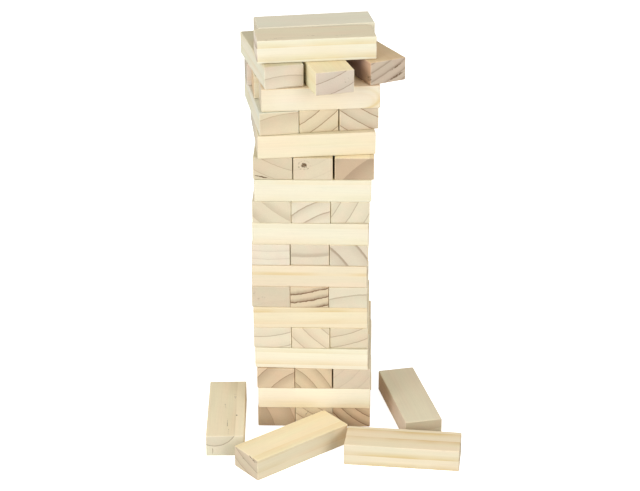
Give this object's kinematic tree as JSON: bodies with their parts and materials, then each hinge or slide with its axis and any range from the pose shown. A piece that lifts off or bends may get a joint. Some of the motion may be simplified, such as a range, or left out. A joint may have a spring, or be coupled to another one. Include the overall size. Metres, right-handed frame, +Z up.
{
  "type": "block stacking tower game",
  "caption": "Tower of plain wooden blocks stacked crosswise in layers, in the middle of play, with loose blocks lying at its foot.",
  "frame": {"origin": "middle of the bottom layer, on the table it stands on", "axes": "+Z up the tower, +Y to the back along the blocks of the bottom layer, +X to the right across them"},
  "size_m": [0.1706, 0.1551, 0.2708],
  "materials": {
    "pale_pine": "bare sanded softwood, matte",
    "honey_pine": "bare sanded softwood, matte",
    "rosy_pine": "bare sanded softwood, matte",
    "grey_pine": "bare sanded softwood, matte"
  },
  "bodies": {
    "layer_01_left": {"layer_01_left": "rosy_pine"},
    "layer_01_middle": {"layer_01_middle": "pale_pine"},
    "layer_01_right": {"layer_01_right": "rosy_pine"},
    "layer_02_front": {"layer_02_front": "honey_pine"},
    "layer_02_middle": {"layer_02_middle": "pale_pine"},
    "layer_02_back": {"layer_02_back": "grey_pine"},
    "layer_03_left": {"layer_03_left": "rosy_pine"},
    "layer_03_middle": {"layer_03_middle": "rosy_pine"},
    "layer_03_right": {"layer_03_right": "grey_pine"},
    "layer_04_front": {"layer_04_front": "honey_pine"},
    "layer_04_back": {"layer_04_back": "rosy_pine"},
    "layer_05_left": {"layer_05_left": "pale_pine"},
    "layer_05_middle": {"layer_05_middle": "honey_pine"},
    "layer_05_right": {"layer_05_right": "honey_pine"},
    "layer_06_front": {"layer_06_front": "honey_pine"},
    "layer_06_middle": {"layer_06_middle": "pale_pine"},
    "layer_06_back": {"layer_06_back": "grey_pine"},
    "layer_07_left": {"layer_07_left": "grey_pine"},
    "layer_07_middle": {"layer_07_middle": "rosy_pine"},
    "layer_07_right": {"layer_07_right": "pale_pine"},
    "layer_08_front": {"layer_08_front": "pale_pine"},
    "layer_08_back": {"layer_08_back": "rosy_pine"},
    "layer_09_left": {"layer_09_left": "pale_pine"},
    "layer_09_middle": {"layer_09_middle": "grey_pine"},
    "layer_09_right": {"layer_09_right": "honey_pine"},
    "layer_10_front": {"layer_10_front": "pale_pine"},
    "layer_10_back": {"layer_10_back": "honey_pine"},
    "layer_11_left": {"layer_11_left": "pale_pine"},
    "layer_11_middle": {"layer_11_middle": "honey_pine"},
    "layer_11_right": {"layer_11_right": "pale_pine"},
    "layer_12_front": {"layer_12_front": "pale_pine"},
    "layer_12_middle": {"layer_12_middle": "pale_pine"},
    "layer_12_back": {"layer_12_back": "honey_pine"},
    "layer_13_left": {"layer_13_left": "pale_pine"},
    "layer_13_middle": {"layer_13_middle": "rosy_pine"},
    "layer_13_right": {"layer_13_right": "rosy_pine"},
    "layer_14_front": {"layer_14_front": "pale_pine"},
    "layer_14_middle": {"layer_14_middle": "honey_pine"},
    "layer_14_back": {"layer_14_back": "pale_pine"},
    "layer_15_left": {"layer_15_left": "pale_pine"},
    "layer_15_middle": {"layer_15_middle": "honey_pine"},
    "layer_15_right": {"layer_15_right": "pale_pine"},
    "layer_16_front": {"layer_16_front": "pale_pine"},
    "layer_16_middle": {"layer_16_middle": "pale_pine"},
    "layer_16_back": {"layer_16_back": "honey_pine"},
    "layer_17_left": {"layer_17_left": "pale_pine"},
    "layer_17_middle": {"layer_17_middle": "honey_pine"},
    "layer_17_right": {"layer_17_right": "rosy_pine"},
    "top_front": {"top_front": "pale_pine"},
    "top_back": {"top_back": "grey_pine"},
    "loose_left": {"loose_left": "grey_pine"},
    "loose_front_left": {"loose_front_left": "honey_pine"},
    "loose_front_right": {"loose_front_right": "honey_pine"},
    "loose_right": {"loose_right": "grey_pine"}
  },
  "joints": [
    {"name": "top_front_lift", "type": "slide", "parent": "layer_01_middle", "child": "top_front", "axis": [0, 0, 1], "range_m": [0, 0.1]},
    {"name": "top_back_lift", "type": "slide", "parent": "layer_01_middle", "child": "top_back", "axis": [0, 0, 1], "range_m": [0, 0.1]},
    {"name": "layer_17_left_slide", "type": "slide", "parent": "layer_01_middle", "child": "layer_17_left", "axis": [0.2672, -0.9636, 0], "range_m": [-0.08, 0.08]},
    {"name": "layer_17_middle_slide", "type": "slide", "parent": "layer_01_middle", "child": "layer_17_middle", "axis": [0.3007, -0.9537, 0], "range_m": [0, 0.08]},
    {"name": "layer_17_right_slide", "type": "slide", "parent": "layer_01_middle", "child": "layer_17_right", "axis": [0.4772, -0.8788, 0], "range_m": [-0.08, 0.08]},
    {"name": "loose_left_lift", "type": "slide", "parent": "layer_01_middle", "child": "loose_left", "axis": [-0.2588, 0, 0.9659], "range_m": [0, 0.3]},
    {"name": "loose_front_left_lift", "type": "slide", "parent": "layer_01_middle", "child": "loose_front_left", "axis": [-0.1294, -0.2241, 0.9659], "range_m": [0, 0.3]},
    {"name": "loose_front_right_lift", "type": "slide", "parent": "layer_01_middle", "child": "loose_front_right", "axis": [0, -0.2588, 0.9659], "range_m": [0, 0.3]},
    {"name": "loose_right_lift", "type": "slide", "parent": "layer_01_middle", "child": "loose_right", "axis": [0.2588, 0, 0.9659], "range_m": [0, 0.3]},
    {"name": "layer_16_front_slide", "type": "slide", "parent": "layer_01_middle", "child": "layer_16_front", "axis": [0.9925, 0.1219, 0], "range_m": [-0.08, 0.08]},
    {"name": "layer_16_middle_slide", "type": "slide", "parent": "layer_01_middle", "child": "layer_16_middle", "axis": [0.9925, 0.1219, 0], "range_m": [-0.08, 0.08]},
    {"name": "layer_16_back_slide", "type": "slide", "parent": "layer_01_middle", "child": "layer_16_back", "axis": [0.9925, 0.1219, 0], "range_m": [-0.08, 0.08]},
    {"name": "layer_15_left_slide", "type": "slide", "parent": "layer_01_middle", "child": "layer_15_left", "axis": [0.1908, -0.9816, 0], "range_m": [-0.08, 0.08]},
    {"name": "layer_15_middle_slide", "type": "slide", "parent": "layer_01_middle", "child": "layer_15_middle", "axis": [0.1908, -0.9816, 0], "range_m": [-0.08, 0.08]},
    {"name": "layer_15_right_slide", "type": "slide", "parent": "layer_01_middle", "child": "layer_15_right", "axis": [0.1908, -0.9816, 0], "range_m": [-0.08, 0.08]},
    {"name": "layer_14_front_slide", "type": "slide", "parent": "layer_01_middle", "child": "layer_14_front", "axis": [0.9914, 0.1305, 0], "range_m": [-0.08, 0.08]},
    {"name": "layer_14_middle_slide", "type": "slide", "parent": "layer_01_middle", "child": "layer_14_middle", "axis": [0.9914, 0.1305, 0], "range_m": [-0.08, 0.08]},
    {"name": "layer_14_back_slide", "type": "slide", "parent": "layer_01_middle", "child": "layer_14_back", "axis": [0.9914, 0.1305, 0], "range_m": [-0.08, 0.08]},
    {"name": "layer_13_left_slide", "type": "slide", "parent": "layer_01_middle", "child": "layer_13_left", "axis": [0.0087, -1, 0], "range_m": [-0.08, 0.08]},
    {"name": "layer_13_middle_slide", "type": "slide", "parent": "layer_01_middle", "child": "layer_13_middle", "axis": [0.0087, -1, 0], "range_m": [-0.08, 0.08]},
    {"name": "layer_13_right_slide", "type": "slide", "parent": "layer_01_middle", "child": "layer_13_right", "axis": [0.0087, -1, 0], "range_m": [-0.08, 0.08]},
    {"name": "layer_12_front_slide", "type": "slide", "parent": "layer_01_middle", "child": "layer_12_front", "axis": [1, 0.0087, 0], "range_m": [-0.08, 0.08]},
    {"name": "layer_12_middle_slide", "type": "slide", "parent": "layer_01_middle", "child": "layer_12_middle", "axis": [1, 0.0087, 0], "range_m": [-0.08, 0.08]},
    {"name": "layer_12_back_slide", "type": "slide", "parent": "layer_01_middle", "child": "layer_12_back", "axis": [1, 0.0087, 0], "range_m": [-0.08, 0.08]},
    {"name": "layer_11_left_slide", "type": "slide", "parent": "layer_01_middle", "child": "layer_11_left", "axis": [0.0087, -1, 0], "range_m": [-0.08, 0.08]},
    {"name": "layer_11_middle_slide", "type": "slide", "parent": "layer_01_middle", "child": "layer_11_middle", "axis": [0.0087, -1, 0], "range_m": [-0.08, 0.08]},
    {"name": "layer_11_right_slide", "type": "slide", "parent": "layer_01_middle", "child": "layer_11_right", "axis": [0.0087, -1, 0], "range_m": [-0.08, 0.08]},
    {"name": "layer_10_front_slide", "type": "slide", "parent": "layer_01_middle", "child": "layer_10_front", "axis": [1, -0.0087, 0], "range_m": [-0.08, 0.08]},
    {"name": "layer_10_back_slide", "type": "slide", "parent": "layer_01_middle", "child": "layer_10_back", "axis": [1, -0.0087, 0], "range_m": [-0.08, 0.08]},
    {"name": "layer_09_left_slide", "type": "slide", "parent": "layer_01_middle", "child": "layer_09_left", "axis": [-0.0087, -1, 0], "range_m": [-0.08, 0.08]},
    {"name": "layer_09_middle_slide", "type": "slide", "parent": "layer_01_middle", "child": "layer_09_middle", "axis": [-0.0087, -1, 0], "range_m": [-0.08, 0.08]},
    {"name": "layer_09_right_slide", "type": "slide", "parent": "layer_01_middle", "child": "layer_09_right", "axis": [-0.0087, -1, 0], "range_m": [-0.08, 0.08]},
    {"name": "layer_08_front_slide", "type": "slide", "parent": "layer_01_middle", "child": "layer_08_front", "axis": [1, -0.0087, 0], "range_m": [-0.08, 0.08]},
    {"name": "layer_08_back_slide", "type": "slide", "parent": "layer_01_middle", "child": "layer_08_back", "axis": [1, -0.0087, 0], "range_m": [-0.08, 0.08]},
    {"name": "layer_07_left_slide", "type": "slide", "parent": "layer_01_middle", "child": "layer_07_left", "axis": [0, -1, 0], "range_m": [-0.08, 0.08]},
    {"name": "layer_07_middle_slide", "type": "slide", "parent": "layer_01_middle", "child": "layer_07_middle", "axis": [0, -1, 0], "range_m": [-0.08, 0.08]},
    {"name": "layer_07_right_slide", "type": "slide", "parent": "layer_01_middle", "child": "layer_07_right", "axis": [0, -1, 0], "range_m": [-0.08, 0.08]},
    {"name": "layer_06_front_slide", "type": "slide", "parent": "layer_01_middle", "child": "layer_06_front", "axis": [1, 0, 0], "range_m": [-0.08, 0.08]},
    {"name": "layer_06_middle_slide", "type": "slide", "parent": "layer_01_middle", "child": "layer_06_middle", "axis": [1, 0, 0], "range_m": [-0.08, 0.08]},
    {"name": "layer_06_back_slide", "type": "slide", "parent": "layer_01_middle", "child": "layer_06_back", "axis": [1, 0, 0], "range_m": [-0.08, 0.08]},
    {"name": "layer_05_left_slide", "type": "slide", "parent": "layer_01_middle", "child": "layer_05_left", "axis": [-0.0087, -1, 0], "range_m": [-0.08, 0.08]},
    {"name": "layer_05_middle_slide", "type": "slide", "parent": "layer_01_middle", "child": "layer_05_middle", "axis": [-0.0087, -1, 0], "range_m": [-0.08, 0.08]},
    {"name": "layer_05_right_slide", "type": "slide", "parent": "layer_01_middle", "child": "layer_05_right", "axis": [-0.0087, -1, 0], "range_m": [-0.08, 0.08]},
    {"name": "layer_04_front_slide", "type": "slide", "parent": "layer_01_middle", "child": "layer_04_front", "axis": [0.9994, -0.0349, 0], "range_m": [-0.08, 0.08]},
    {"name": "layer_04_back_slide", "type": "slide", "parent": "layer_01_middle", "child": "layer_04_back", "axis": [0.9994, -0.0349, 0], "range_m": [-0.08, 0.08]},
    {"name": "layer_03_left_slide", "type": "slide", "parent": "layer_01_middle", "child": "layer_03_left", "axis": [-0.0087, -1, 0], "range_m": [-0.08, 0.08]},
    {"name": "layer_03_middle_slide", "type": "slide", "parent": "layer_01_middle", "child": "layer_03_middle", "axis": [-0.0087, -1, 0], "range_m": [-0.08, 0.08]},
    {"name": "layer_03_right_slide", "type": "slide", "parent": "layer_01_middle", "child": "layer_03_right", "axis": [-0.0087, -1, 0], "range_m": [-0.08, 0.08]},
    {"name": "layer_02_front_slide", "type": "slide", "parent": "layer_01_middle", "child": "layer_02_front", "axis": [1, 0, 0], "range_m": [-0.08, 0.08]},
    {"name": "layer_02_middle_slide", "type": "slide", "parent": "layer_01_middle", "child": "layer_02_middle", "axis": [1, 0, 0], "range_m": [-0.08, 0.08]},
    {"name": "layer_02_back_slide", "type": "slide", "parent": "layer_01_middle", "child": "layer_02_back", "axis": [1, 0, 0], "range_m": [-0.08, 0.08]},
    {"name": "layer_01_left_slide", "type": "slide", "parent": "layer_01_middle", "child": "layer_01_left", "axis": [0, 1, 0], "range_m": [0, 0.08]},
    {"name": "layer_01_right_slide", "type": "slide", "parent": "layer_01_middle", "child": "layer_01_right", "axis": [0, 1, 0], "range_m": [0, 0.08]}
  ]
}
